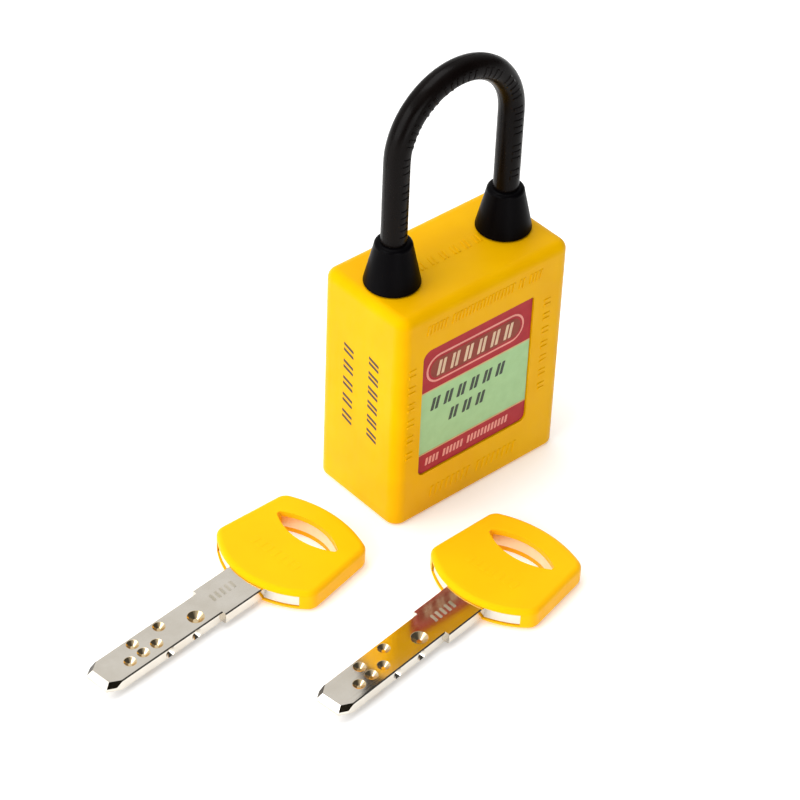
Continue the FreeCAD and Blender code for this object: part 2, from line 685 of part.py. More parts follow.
def build_frame():
    """The metal block above the cylinder that guides the two bolts and houses the cam."""
    low = dim["barrel_top"] + dim["fit_gap"]
    block = cylinder("frame_block", barrel_radius, dim["frame_top"] - low, z=low)
    cam_room = cylinder("cam_room", dim["cam_room_dia"] / 2, cam_top + dim["cam_headroom"])
    bolt_way = box("bolt_way", (-barrel_radius, -bolt_side, way_low),
                   (barrel_radius, bolt_side, way_high))
    keep("bolt_frame", cut("bolt_frame", block, cam_room, bolt_way))


def build_cam():
    """The cam on the plug's tail. Its ends are curved so that the bolts follow its turn evenly."""
    body = new_body("cam")
    plate = new_sketch(body, "plate", offset=dim["cam_low"])
    rate = dim["bolt_travel"] * (2 / math.pi)
    half = lobe_reach - dim["bolt_travel"]
    midway = lobe_reach - dim["bolt_travel"] / 2
    lean_x = (midway + rate) * math.sqrt(0.5)
    lean_y = (midway - rate) * math.sqrt(0.5)
    corner = lobe_reach - dim["cam_corner_ease"]
    outline(plate, (-rate, half), ((corner, half),), ((lean_x, -lean_y), (rate, -half)),
            ((-corner, -half),), ((-lean_x, lean_y), (-rate, half)))
    extrude(body, "Pad", plate, dim["cam_thick"])
    hub_low = dim["plug_top"] + dim["fit_gap"]
    hub = new_sketch(body, "hub", offset=hub_low)
    circle(hub, dim["hub_dia"] / 2)
    extrude(body, "Pad", hub, dim["cam_low"] - hub_low)
    side = dim["tail_side"] / 2 + dim["fit_gap"]
    socket = new_sketch(body, "socket", offset=hub_low)
    outline(socket, (-side, -side), ((side, -side),), ((side, side),), ((-side, side),),
            ((-side, -side),))
    extrude(body, "Pocket", socket, dim["tail_high"] + dim["fit_gap"], reverse=True)
    hole = new_sketch(body, "hole", offset=cam_top)
    circle(hole, dim["cam_hole"] / 2)
    extrude(body, "Pocket", hole, cam_top - tail_top)
    sink = new_sketch(body, "sink", offset=cam_top)
    circle(sink, dim["cam_sink_dia"] / 2)
    extrude(body, "Pocket", sink, dim["cam_sink_deep"])
    keep("cam", body)


def build_bolts():
    """Two sliding bolts whose bevelled noses bite into the shackle legs, and their spring."""
    body = new_body("toe_bolt")
    profile = new_sketch(body, "profile", "XZ_Plane")
    inner = dim["bolt_inner"]
    low = dim["bolt_low"]
    bevel = dim["nose_bevel"]
    nose_long = dim["bolt_bite"] + dim["bolt_gap"]
    outline(profile, (inner, low), ((bite_x - nose_long, low),), ((bite_x, low + nose_long * slope),),
            ((bite_x, bolt_top - bevel),), ((bite_x - bevel, bolt_top),), ((inner, bolt_top),),
            ((inner, low),))
    extrude(body, "Pad", profile, dim["bolt_wide"], symmetric=True)
    pocket = new_sketch(body, "pocket", "YZ_Plane", inner)
    circle(pocket, dim["spring_pocket_dia"] / 2, y=spring_z)
    extrude(body, "Pocket", pocket, dim["spring_pocket_deep"], reverse=True)
    keep("toe_bolt", body)
    mirror = doc.addObject("Part::Mirroring", "heel_bolt")
    mirror.Source = body
    mirror.Normal = ACROSS
    keep("heel_bolt", mirror)
    reach = inner + dim["spring_seat"]
    keep("bolt_spring", coil("bolt_spring", dim["bolt_wire"] / 2, dim["bolt_coil"] / 2,
                             dim["bolt_pitch"], reach * 2, x=-reach, z=spring_z, axis=ACROSS))


# ---- keys ------------------------------------------------------------------------------------

def key_blank(name):
    """The flat metal of one key along its own X, with its tip towards -X."""
    body = new_body(name)
    tip = -(dim["shank_long"] + dim["blade_long"])
    blade = dim["blade_width"] / 2
    shank = dim["shank_width"] / 2
    shoulder = -dim["shank_long"]
    tip_end = tip + dim["tip_long"]
    middle = dim["bow_thick"] / 2
    plan = new_sketch(body, "plan", offset=middle)
    upper = [((tip_end, blade),), ((shoulder, blade),), ((shoulder, shank),),
             ((dim["head_neck"], shank),),
             ((dim["head_mid"], dim["head_mid_half"]), (dim["head_near"], dim["head_near_half"])),
             ((dim["head_far"], dim["head_far_half"]),)]
    start = (tip, dim["tip_half"])
    points = [start] + [point for step in upper for point in step]
    far, side, mid, neck, *edge = [(x, -y) for x, y in reversed(points)]
    outline(plan, start, *upper, (far,), (side,), (mid, neck), *[(point,) for point in edge],
            (start,))
    blank = extrude(body, "Pad", plan, dim["key_thick"], symmetric=True)
    faces_z = (middle - dim["key_thick"] / 2, middle + dim["key_thick"] / 2)

    def on_rim(point):
        return any(near(point.z, height) for height in faces_z)

    def on_long_edge(point):
        on_blade = near(abs(point.y), blade) and point.x < shoulder.value + SAME_PLACE
        on_shank = near(abs(point.y), shank) and point.x < dim["head_neck"].value + SAME_PLACE
        return on_rim(point) and (on_blade or on_shank)

    blank = dress(body, "Chamfer", blank, on_long_edge, dim["edge_bevel"])
    dress(body, "Chamfer", blank,
          lambda point: point.x < tip_end.value + SAME_PLACE and on_rim(point), dim["tip_bevel"])
    nose_bevels(body, tip, middle)
    return body


def nose_bevels(body, tip, middle):
    """Slopes both faces down to a thin nose, which lifts the pins as the key goes in."""
    profile = new_sketch(body, "nose", "XZ_Plane")
    over = dim["tool_over"]
    back = tip + dim["nose_long"]
    for side in (-1, 1):
        face = middle + dim["key_thick"] / 2 * side
        nose = middle + dim["nose_thick"] / 2 * side
        outside = face + over * side
        outline(profile, (tip, nose), ((back, face),), ((back, outside),),
                ((tip - over, outside),), ((tip - over, nose),), ((tip, nose),))
    extrude(body, "Pocket", profile, dim["blade_width"] * 2, symmetric=True)


def key_dimples(name):
    """The dimples of both faces and the notches of both edges, as tools."""
    middle = dim["bow_thick"] / 2
    first = dim["shank_long"] + dim["first_dimple"]
    tools = []
    for face, side in (("top", 1), ("under", -1)):
        for number, (station, row, large) in enumerate(DIMPLES):
            size = "large" if large else "dimple"
            deep = dim[size + "_deep"]
            mouth = dim[size + "_mouth"] / 2
            floor_z = middle + (dim["key_thick"] / 2 - deep) * side
            tools.append(cone("%s_%s_%d" % (name, face, number), mouth * DIMPLE_FLOOR, mouth, deep,
                              -(first + dim["dimple_pitch"] * station), dim[row] * side, floor_z,
                              Vector(0, 0, side)))
    for station in SIDE_NOTCHES:
        x = -(first + dim["side_notch_on"] + dim["dimple_pitch"] * station)
        for edge, side in (("left", -1), ("right", 1)):
            floor_y = (dim["blade_width"] / 2 - dim["side_notch_deep"]) * side
            tools.append(cone("%s_%s_notch_%d" % (name, edge, station), dim["side_notch_floor"] / 2,
                              dim["side_notch_mouth"] / 2, dim["side_notch_deep"], x, floor_y,
                              middle, Vector(0, side, 0)))
    return tools


def key_bow(name):
    """The plastic bow: arcs on the blade side and the far side, and a lens-shaped ring slot."""
    body = new_body(name)
    thick = dim["bow_thick"]
    near_low = (dim["bow_near"], -dim["bow_near_half"])
    near_high = (dim["bow_near"], dim["bow_near_half"])
    far_low = (dim["bow_far"], -dim["bow_far_half"])
    far_high = (dim["bow_far"], dim["bow_far_half"])
    plan = new_sketch(body, "plan")
    outline(plan, near_low, (far_low,), ((dim["bow_long"], 0), far_high), (near_high,),
            ((0, 0), near_low))
    block = extrude(body, "Pad", plan, thick)

    def on_corner(point):
        return any(near(point.x, x) and near(abs(point.y), y)
                   for x, y in (near_high, far_high))

    block = dress(body, "Fillet", block, on_corner, dim["bow_corner_round"])
    dress(body, "Fillet", block, lambda point: near(point.z, 0) or near(point.z, thick),
          dim["bow_round"])
    slot = new_sketch(body, "slot")
    half = dim["slot_half"]
    start = (dim["slot_end_near"], -half)
    outline(slot, start, ((dim["slot_end_far"], -half),),
            ((dim["slot_far"], 0), (dim["slot_end_far"], half)), ((dim["slot_end_near"], half),),
            ((dim["slot_near"], 0), start))
    extrude(body, "Pocket", slot, thick, reverse=True)
    return body


def build_key(name):
    """One key: a dimpled blank whose head sits in the slot of its bow."""
    blade = cut(name + "_blade", key_blank(name + "_blank"), *key_dimples(name))
    middle = dim["bow_thick"] / 2
    half = dim["key_thick"] / 2 + dim["fit_gap"]
    side = dim["head_near_half"] + dim["head_gap"]
    socket = box(name + "_socket", (-dim["shank_long"], -side, middle - half),
                 (dim["head_far"] + dim["head_gap"], side, middle + half))
    bow = cut(name + "_bow", key_bow(name + "_bow_block"), socket)
    angle = dim[name + "_angle"]
    for label, item in ((name + "_blade", blade), (name + "_bow", bow)):
        place(item, dim[name + "_across"], dim[name + "_back"], 0, turn=Rotation(UP, angle.value))
        bind(item, "Placement.Rotation.Angle", angle)
        keep(label, item)


# ---- build, check and write ------------------------------------------------------------------

def check_document():
    """Stops if any object failed, any cut removed nothing, or any sub-part isn't valid."""
    doc.recompute()
    for item in doc.Objects:
        if "Invalid" in item.State or "Error" in item.State:
            raise RuntimeError("%s failed: %s" % (item.Name, item.State))
        if item.TypeId == "PartDesign::Pocket":
            removed = item.BaseFeature.Shape.Volume - item.Shape.Volume
            if removed < 0.01:
                raise RuntimeError("%s removes nothing" % item.Name)
    for label, item in nodes.items():
        if item.Shape.isNull() or not item.Shape.isValid() or not item.Shape.Solids:
            raise RuntimeError("%s has no valid solid" % label)


def write_parts():
    os.makedirs("parts", exist_ok=True)
    for label, item in nodes.items():
        item.Shape.exportStep("parts/%s.step" % label)
        bounds = item.Shape.BoundBox
        print("%-18s %d solid(s) %8.1f mm3  x %.2f %.2f  y %.2f %.2f  z %.2f %.2f" % (
            label, len(item.Shape.Solids), item.Shape.Volume, bounds.XMin, bounds.XMax,
            bounds.YMin, bounds.YMax, bounds.ZMin, bounds.ZMax))


build_shell()
build_cover()
build_label()
build_boot("heel_boot", -leg_x)
build_boot("toe_boot", leg_x)
build_shackle()
build_housing()
build_plug()
build_pins()
slotted_screw("cylinder_screw", leg_x, ear_low, screw_shelf + dim["fit_gap"],
              ("screw_dia", "screw_head_dia", "screw_head_high", "screw_slot_wide",
               "screw_slot_deep"))
build_frame()
build_cam()
slotted_screw("cam_screw", as_size(0), tail_top - dim["cam_screw_deep"] + dim["cam_screw_spare"],
              cam_top - dim["cam_sink_deep"] + dim["fit_gap"],
              ("cam_screw_dia", "cam_head_dia", "cam_head_high", "cam_slot_wide", "cam_slot_deep"))
build_bolts()
build_key("key_1")
build_key("key_2")
check_document()
write_parts()
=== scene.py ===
"""Looks of a keyed safety padlock and its two dimple keys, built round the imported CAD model.

Sizes are in millimetres, as MM times a number, and places come from the frame's own boxes. The
keys' details are in each key's own plain millimetres, which key_frame turns into a place.
"""
import math
import random
from collections import namedtuple

import bmesh
import bpy
from mathutils import Matrix, Vector


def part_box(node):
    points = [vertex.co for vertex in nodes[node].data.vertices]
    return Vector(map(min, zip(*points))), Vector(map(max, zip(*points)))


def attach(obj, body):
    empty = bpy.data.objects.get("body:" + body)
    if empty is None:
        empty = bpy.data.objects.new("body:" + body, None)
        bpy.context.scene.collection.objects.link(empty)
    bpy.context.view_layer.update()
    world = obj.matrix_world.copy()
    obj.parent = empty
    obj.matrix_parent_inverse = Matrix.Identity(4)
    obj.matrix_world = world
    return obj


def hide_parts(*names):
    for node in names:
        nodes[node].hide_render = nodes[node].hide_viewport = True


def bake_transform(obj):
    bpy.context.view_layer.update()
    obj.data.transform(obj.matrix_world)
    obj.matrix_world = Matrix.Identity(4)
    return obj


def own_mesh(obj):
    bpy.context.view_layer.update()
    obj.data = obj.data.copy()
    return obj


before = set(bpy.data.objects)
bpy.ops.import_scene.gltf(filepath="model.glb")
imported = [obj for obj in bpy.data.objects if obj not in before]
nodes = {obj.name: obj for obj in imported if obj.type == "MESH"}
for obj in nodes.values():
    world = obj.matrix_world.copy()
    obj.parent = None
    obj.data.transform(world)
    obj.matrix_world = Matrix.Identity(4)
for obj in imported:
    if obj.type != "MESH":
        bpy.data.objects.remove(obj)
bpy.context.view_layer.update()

MM = 0.001

# ---- places taken from the frame -------------------------------------------------------------

body_low, body_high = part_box("body_shell")
label_low, label_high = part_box("warning_label")
toe_low, toe_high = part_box("toe_boot")
rod_low, rod_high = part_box("shackle")

front_y = body_low.y
left_x = body_low.x
top_z = body_high.z
label_y = label_low.y
leg_x = (toe_low.x + toe_high.x) / 2
rod_radius = (rod_high.y - rod_low.y) / 2
arch_z = rod_high.z - leg_x - rod_radius
rim_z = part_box("heel_boot")[1].z
leg_long = arch_z - rim_z
rod_long = leg_long * 2 + math.pi * leg_x


# ---- shader helpers --------------------------------------------------------------------------

NOISE_LOW, NOISE_HIGH = 0.32, 0.68  # where most of a noise's values lie


def new_material(name, roughness, metallic=0.0, **sockets):
    """A material with one shader, whose uniform values sit on the shader's own sockets."""
    item = bpy.data.materials.new(name)
    item.use_nodes = True
    tree = item.node_tree
    shader = tree.nodes["Principled BSDF"]
    shader.inputs["Roughness"].default_value = roughness
    shader.inputs["Metallic"].default_value = metallic
    for socket, value in sockets.items():
        shader.inputs[socket.replace("_", " ")].default_value = value
    return item, tree, shader


def noise(tree, size, detail, stretch=(1, 1, 1), turn=0.0):
    """A noise in the object's own space, whose lumps are about size across."""
    place = tree.nodes.new("ShaderNodeTexCoord")
    mapping = tree.nodes.new("ShaderNodeMapping")
    mapping.vector_type = "TEXTURE"
    mapping.inputs["Scale"].default_value = [size * share for share in stretch]
    mapping.inputs["Rotation"].default_value = (0, 0, turn)
    texture = tree.nodes.new("ShaderNodeTexNoise")
    texture.inputs["Scale"].default_value = 1.0
    texture.inputs["Detail"].default_value = detail
    tree.links.new(place.outputs["Object"], mapping.inputs["Vector"])
    tree.links.new(mapping.outputs["Vector"], texture.inputs["Vector"])
    return texture.outputs["Fac"]


def spread(tree, value, low, high, start=NOISE_LOW, end=NOISE_HIGH):
    """Maps values from start..end to low..high."""
    item = tree.nodes.new("ShaderNodeMapRange")
    item.inputs["From Min"].default_value = start
    item.inputs["From Max"].default_value = end
    item.inputs["To Min"].default_value = low
    item.inputs["To Max"].default_value = high
    tree.links.new(value, item.inputs["Value"])
    return item.outputs["Result"]


def tint(tree, value, first, second, start=NOISE_LOW, end=NOISE_HIGH):
    """A colour that goes from first to second as the value goes from start to end."""
    item = tree.nodes.new("ShaderNodeValToRGB")
    item.color_ramp.elements[0].position = start
    item.color_ramp.elements[0].color = (*first, 1)
    item.color_ramp.elements[1].position = end
    item.color_ramp.elements[1].color = (*second, 1)
    tree.links.new(value, item.inputs["Fac"])
    return item.outputs["Color"]


def bump(tree, shader, value, distance, strength, before=None):
    """Raises the surface by up to distance where the value is high."""
    item = tree.nodes.new("ShaderNodeBump")
    item.inputs["Strength"].default_value = strength
    item.inputs["Distance"].default_value = distance
    tree.links.new(value, item.inputs["Height"])
    if before:
        tree.links.new(before, item.inputs["Normal"])
    tree.links.new(item.outputs["Normal"], shader.inputs["Normal"])
    return item.outputs["Normal"]


# ---- materials -------------------------------------------------------------------------------

def moulded_plastic(name, light, deep, rough, grain=0.16 * MM, **sockets):
    """Satin moulded plastic: a fine spark grain, slow colour drift and handling scuffs. rough is
    its lowest and highest roughness."""
    item, tree, shader = new_material(name, rough[0], **sockets)
    drift = noise(tree, size=9 * MM, detail=2.0)
    tree.links.new(tint(tree, drift, deep, light), shader.inputs["Base Color"])
    scuffs = noise(tree, size=1.6 * MM, detail=6.0, stretch=(1, 1, 2.2))
    tree.links.new(spread(tree, scuffs, *rough), shader.inputs["Roughness"])
    swell = bump(tree, shader, noise(tree, size=3.5 * MM, detail=1.0), distance=0.02 * MM,
                 strength=0.5)
    bump(tree, shader, noise(tree, size=grain, detail=2.0), distance=0.006 * MM, strength=0.6,
         before=swell)
    return item


def printed_film(name, light, deep):
    """A printed film with a faint orange-peel surface."""
    item, tree, shader = new_material(name, roughness=0.34, Specular_IOR_Level=0.12)
    cover = noise(tree, size=2.5 * MM, detail=4.0)
    tree.links.new(tint(tree, cover, deep, light), shader.inputs["Base Color"])
    bump(tree, shader, noise(tree, size=0.5 * MM, detail=2.0), distance=0.004 * MM, strength=0.5)
    return item


def ink(name, colour):
    """Pad-printed ink, slightly uneven in cover and gloss, and lighter where it is thin."""
    item, tree, shader = new_material(name, roughness=0.45)
    cover = noise(tree, size=0.5 * MM, detail=5.0)
    faded = [channel * 1.5 + 0.01 for channel in colour]
    tree.links.new(tint(tree, cover, colour, faded, start=0.4, end=0.8),
                   shader.inputs["Base Color"])
    tree.links.new(spread(tree, cover, low=0.35, high=0.55), shader.inputs["Roughness"])
    return item


def metal(name, light, deep, rough, lines=(1, 1, 1), turn=0.0):
    """A metal whose polishing or turning lines run the long way of lines, a stretch along XYZ.
    rough is its lowest and highest roughness."""
    item, tree, shader = new_material(name, rough[0], metallic=1.0)
    stain = noise(tree, size=4 * MM, detail=4.0)
    tree.links.new(tint(tree, stain, deep, light), shader.inputs["Base Color"])
    streaks = noise(tree, size=0.12 * MM, detail=3.0, stretch=lines, turn=turn)
    tree.links.new(spread(tree, streaks, *rough), shader.inputs["Roughness"])
    bump(tree, shader, streaks, distance=0.0015 * MM, strength=0.35)
    return item


KEY_TURNS = {"key_1": math.radians(6.2), "key_2": math.radians(7.6)}
ALONG_KEY = (60, 1, 1)
ALONG_X = (30, 1, 1)
AROUND_Z = (8, 8, 1)
WARM = {"Specular_IOR_Level": 0.12, "Specular_Tint": (1.0, 0.72, 0.02, 1)}
# Painted glow: a faint orange emission on the key bows, standing in for light passing through the
# plastic.
PAINTED_GLOW = {"Emission_Color": (1.0, 0.6, 0.08, 1), "Emission_Strength": 0.06}

yellow = moulded_plastic(
    "moulded_yellow", light=(0.81, 0.43, 0.0), deep=(0.78, 0.395, 0.0), rough=(0.36, 0.5), **WARM)
bow_yellow = moulded_plastic(
    "bow_yellow", light=(0.95, 0.475, 0.0), deep=(0.93, 0.445, 0.0), rough=(0.30, 0.42),
    **PAINTED_GLOW, **WARM)
cover_yellow = moulded_plastic(
    "cover_yellow", light=(0.78, 0.41, 0.0), deep=(0.74, 0.375, 0.0), rough=(0.42, 0.56), **WARM)
black = moulded_plastic(
    "moulded_black", light=(0.0042, 0.0028, 0.0024), deep=(0.002, 0.0012, 0.001),
    rough=(0.2, 0.34), grain=0.22 * MM, Specular_IOR_Level=0.07)
boot_black = moulded_plastic(
    "boot_rubber", light=(0.0018, 0.0015, 0.002), deep=(0.0008, 0.0006, 0.001),
    rough=(0.3, 0.42), grain=0.3 * MM, Specular_IOR_Level=0.03)

panel_green = printed_film("panel_green", light=(0.385, 0.60, 0.30), deep=(0.345, 0.55, 0.265))
band_red = printed_film("band_red", light=(0.42, 0.022, 0.030), deep=(0.35, 0.014, 0.022))
pill_red = printed_film("pill_red", light=(0.27, 0.050, 0.030), deep=(0.22, 0.036, 0.022))
line_pink = printed_film("line_pink", light=(0.80, 0.34, 0.28), deep=(0.72, 0.28, 0.23))
mark_beige = printed_film("mark_beige", light=(0.72, 0.53, 0.36), deep=(0.62, 0.44, 0.29))
line_peach = printed_film("line_peach", light=(0.66, 0.45, 0.22), deep=(0.58, 0.38, 0.18))
mark_olive = ink("mark_olive", (0.008, 0.020, 0.004))
print_brown = ink("print_brown", (0.036, 0.014, 0.002))

nickel = {
    name: metal("nickel_plate_" + name, light=(0.74, 0.695, 0.62), deep=(0.68, 0.63, 0.55),
                rough=(0.06, 0.12), lines=ALONG_KEY, turn=turn)
    for name, turn in KEY_TURNS.items()}
dimple_brass = metal(
    "drilled_brass", light=(0.84, 0.68, 0.44), deep=(0.72, 0.55, 0.32), rough=(0.05, 0.12))
# Painted dark reflection: a near-black metal laid on the tip's corners, where the real tip only
# reflects something dark.
painted_dark_reflection = metal(
    "painted_dark_reflection", light=(0.10, 0.08, 0.05), deep=(0.045, 0.036, 0.026), rough=(0.16, 0.28))
stamp_metal = metal(
    "stamped_metal", light=(0.50, 0.47, 0.40), deep=(0.36, 0.33, 0.26), rough=(0.3, 0.5))
# Partly painted reflection: the slot's metal edge is real, but its colour is lighter than the metal
# to stand in for the bright floor it reflects.
slot_metal_and_reflection = metal(
    "slot_metal_and_reflection", light=(0.96, 0.80, 0.56), deep=(0.90, 0.72, 0.46), rough=(0.3, 0.42))
brass = metal(
    "turned_brass", light=(0.78, 0.56, 0.24), deep=(0.66, 0.45, 0.17), rough=(0.2, 0.36),
    lines=AROUND_Z)
spring_steel = metal(
    "spring_steel", light=(0.56, 0.56, 0.57), deep=(0.42, 0.42, 0.44), rough=(0.22, 0.34))
zinc_steel = metal(
    "zinc_steel", light=(0.62, 0.63, 0.66), deep=(0.50, 0.51, 0.55), rough=(0.26, 0.42),
    lines=ALONG_X)
casting = metal(
    "zinc_casting", light=(0.50, 0.51, 0.53), deep=(0.38, 0.39, 0.41), rough=(0.42, 0.6))

FINISHES = {
    yellow: ("body_shell",),
    cover_yellow: ("base_cover",),
    bow_yellow: ("key_1_bow", "key_2_bow"),
    black: ("shackle",),
    boot_black: ("heel_boot", "toe_boot"),
    panel_green: ("warning_label",),
    nickel["key_1"]: ("key_1_blade",),
    nickel["key_2"]: ("key_2_blade",),
    brass: ("cylinder_housing", "key_plug", "key_pins", "driver_pins", "pin_stack_cover"),
    spring_steel: ("shackle_clip", "shackle_spring", "bolt_spring", "pin_springs", "plug_circlip"),
    zinc_steel: ("cylinder_screw", "cam_screw", "toe_bolt", "heel_bolt"),
    casting: ("bolt_frame", "cam"),
}
for finish, names in FINISHES.items():
    for name in names:
        mesh = nodes[name].data
        mesh.materials.clear()
        mesh.materials.append(finish)


# ---- mesh helpers ----------------------------------------------------------------------------

CORNER_STEPS = 6
SMALLEST_RADIUS = 0.02 * MM
ROW_SINK = 0.03 * MM                # how far a raised bar reaches into its face
BEVEL_FALL = 0.6                    # a plate's bevel goes down this share of its width
CORNER_SHARE = 0.45                 # a bar's corner radius, as a share of its narrow half
BEVEL_OF_RELIEF, BEVEL_OF_RADIUS = 0.6, 0.5  # the most that a bar's bevel may be


def to_piece(name, mesh_builder, finish, body):
    """Makes an object of a bmesh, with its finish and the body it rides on."""
    bmesh.ops.recalc_face_normals(mesh_builder, faces=mesh_builder.faces)
    mesh = bpy.data.meshes.new(name)
    mesh_builder.to_mesh(mesh)
    mesh_builder.free()
    mesh.materials.append(finish)
    piece = bpy.data.objects.new(name, mesh)
    bpy.context.scene.collection.objects.link(piece)
    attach(piece, body)


def walls(builder, loops):
    """Joins each closed loop of points to the next one."""
    for lower, upper in zip(loops, loops[1:]):
        for here in range(len(lower)):
            after = (here + 1) % len(lower)
            builder.faces.new((lower[here], lower[after], upper[after], upper[here]))


def solid(builder, loops):
    """Closed loops joined one to the next, with a face over each end."""
    walls(builder, loops)
    builder.faces.new(loops[0][::-1])
    builder.faces.new(loops[-1])


def skin(builder, rows):
    """Joins each open row of points to the next one."""
    for row, after in zip(rows, rows[1:]):
        for here in range(len(row) - 1):
            builder.faces.new((row[here], row[here + 1], after[here + 1], after[here]))


def rounded(low, high, radii):
    """A rectangle's outline, with a radius for each corner, from low round to high."""
    corners = (
        (low[0] + radii[0], low[1] + radii[0], radii[0], 180),
        (high[0] - radii[1], low[1] + radii[1], radii[1], 270),
        (high[0] - radii[2], high[1] - radii[2], radii[2], 0),
        (low[0] + radii[3], high[1] - radii[3], radii[3], 90),
    )
    points = []
    for x, y, radius, first in corners:
        for step in range(CORNER_STEPS + 1):
            angle = math.radians(first + 90 * step / CORNER_STEPS)
            points.append((x + radius * math.cos(angle), y + radius * math.sin(angle)))
    return points


def plate(builder, low, high, radii, place, relief, bevel, sink=0.0):
    """A low plate with a bevelled rim. place turns (across, up, out) into a point."""
    inner = [max(radius - bevel, SMALLEST_RADIUS) for radius in radii]
    outer_line = rounded(low, high, radii)
    inner_line = rounded((low[0] + bevel, low[1] + bevel), (high[0] - bevel, high[1] - bevel),
                         inner)
    solid(builder, [
        [builder.verts.new(place(u, v, -sink)) for u, v in outer_line],
        [builder.verts.new(place(u, v, relief - bevel * BEVEL_FALL)) for u, v in outer_line],
        [builder.verts.new(place(u, v, relief)) for u, v in inner_line]])


def mark_places(groups, pitch):
    """The centres of a row of marks in groups, one pitch apart with a pitch between groups."""
    places = []
    here = 0.0
    for size in groups:
        for _ in range(size):
            places.append(here)
            here += pitch
        here += pitch
    middle = (places[0] + places[-1]) / 2
    return [value - middle for value in places]


def mark_row(name, groups, pitch, size, place, finish, body, relief, sink=ROW_SINK,
             lean=0.0):
    """A row of plain bars in groups. lean shears each bar along the row as it goes up."""
    builder = bmesh.new()
    half_wide, half_tall = size[0] / 2, size[1] / 2
    radius = min(half_wide, half_tall) * CORNER_SHARE
    bevel = min(relief * BEVEL_OF_RELIEF, radius * BEVEL_OF_RADIUS)
    for centre in mark_places(groups, pitch):
        def leaning(u, v, w, centre=centre):
            return place(centre + u + v * lean, v, w)
        plate(builder, (-half_wide, -half_tall), (half_wide, half_tall), [radius] * 4, leaning,
              relief, bevel, sink)
    to_piece(name, builder, finish, body)


def on_front(x, z, y=front_y):
    """Places things on a face that looks towards -Y: across is +X and up is +Z."""
    return lambda u, v, w: (x + u, y - w, z + v)


def up_front(x, z):
    """Places things on the front face in rows that run upwards."""
    return lambda u, v, w: (x + v, front_y - w, z + u)


def on_left(y, z):
    """Places things on the -X face, with rows that run upwards and read towards +Y."""
    return lambda u, v, w: (left_x - w, y + v, z + u)


def on_top(x, y):
    """Places things on the top: across is +X and up is +Y."""
    return lambda u, v, w: (x + u, y + v, top_z + w)


# A row of bars in millimetres: wide and tall are one bar's size, and x and y the row's middle,
# with y up the face. layers is the height in layers of print.
Bars = namedtuple("Bars", "name groups pitch wide tall x y finish layers lean")


# ---- label -----------------------------------------------------------------------------------

FILM = 0.03 * MM                    # one layer of print
FILM_BEVEL = FILM * 0.5
SHARP = 0.05 * MM                   # the radius of a corner that looks square
PANEL_EDGES = (4.25 * MM, 17.75 * MM)  # the green panel's, from the label's lower edge
BAND_LINE = 0.28 * MM
BOTTOM_RADII = (1.15 * MM, 1.15 * MM, SHARP, SHARP)
TOP_RADII = (SHARP, SHARP, 0.45 * MM, 1.65 * MM)
PILL_MARGINS = (0.9 * MM, 1.4 * MM, 1.7 * MM, 1.8 * MM)  # left, below, right and above
PILL_STROKE = 0.4 * MM
PILL_GAP = 0.45 * MM
PAIRS = (2,) * 6
LABEL_BARS = (
    Bars("label_bars_top", PAIRS, 1.007, 0.7, 3.1, -2.0, 31.35, mark_beige, 5, 0.2),
    Bars("label_bars_middle", PAIRS, 0.985, 0.7, 2.6, -3.1, 23.75, mark_olive, 1, 0.24),
    Bars("label_bars_lower", PAIRS[:3], 1.02, 0.7, 2.5, -3.1, 19.6, mark_olive, 1, 0.24),
    Bars("label_bars_bottom", (4, 6, 12), 0.8, 0.5, 1.6, -2.7, 11.5, line_pink, 2, 0.16),
)


def build_label_print():
    """The label's two red bands, its lines, its framed panel and its plain bars."""
    wide_low, wide_high = label_low.x, label_high.x
    panel_low, panel_high = (label_low.z + height for height in PANEL_EDGES)
    place = on_front(0, 0, label_y)

    def layer(name, low, high, radii, finish, layers):
        builder = bmesh.new()
        plate(builder, low, high, radii, place, FILM * layers, FILM_BEVEL)
        to_piece(name, builder, finish, "padlock_body")

    layer("label_band_top", (wide_low, panel_high), (wide_high, label_high.z), TOP_RADII,
          band_red, 1)
    layer("label_band_bottom", (wide_low, label_low.z), (wide_high, panel_low), BOTTOM_RADII,
          band_red, 1)
    for name, z in (("top", panel_high), ("bottom", panel_low)):
        layer("label_line_" + name, (wide_low, z - BAND_LINE / 2), (wide_high, z + BAND_LINE / 2),
              (SHARP,) * 4, line_peach, 2)

    left, below, right, above = PILL_MARGINS
    pill_low = (wide_low + left, panel_high + below)
    pill_high = (wide_high - right, label_high.z - above)
    end = (pill_high[1] - pill_low[1]) / 2
    rings = (("label_pill_edge", 0, line_pink), ("label_pill_gap", PILL_STROKE, band_red),
             ("label_pill", PILL_STROKE + PILL_GAP, pill_red))
    for layers, (name, inset, finish) in enumerate(rings, 2):
        layer(name, (pill_low[0] + inset, pill_low[1] + inset),
              (pill_high[0] - inset, pill_high[1] - inset), (end - inset - SHARP,) * 4, finish,
              layers)

    for bars in LABEL_BARS:
        mark_row(bars.name, bars.groups, bars.pitch * MM, (bars.wide * MM, bars.tall * MM),
                 on_front(bars.x * MM, bars.y * MM, label_y), bars.finish, "padlock_body",
                 FILM * bars.layers, sink=0, lean=bars.lean)


# ---- marks moulded and printed on the body ---------------------------------------------------

MOULDED_RELIEF = 0.12 * MM
MOULDED_LEAN = 0.2                  # how far a slanted bar leans, across per up
INK_FILM = 0.025 * MM
UPRIGHT_LONG = 21.5                 # how far the upright rows on the front reach


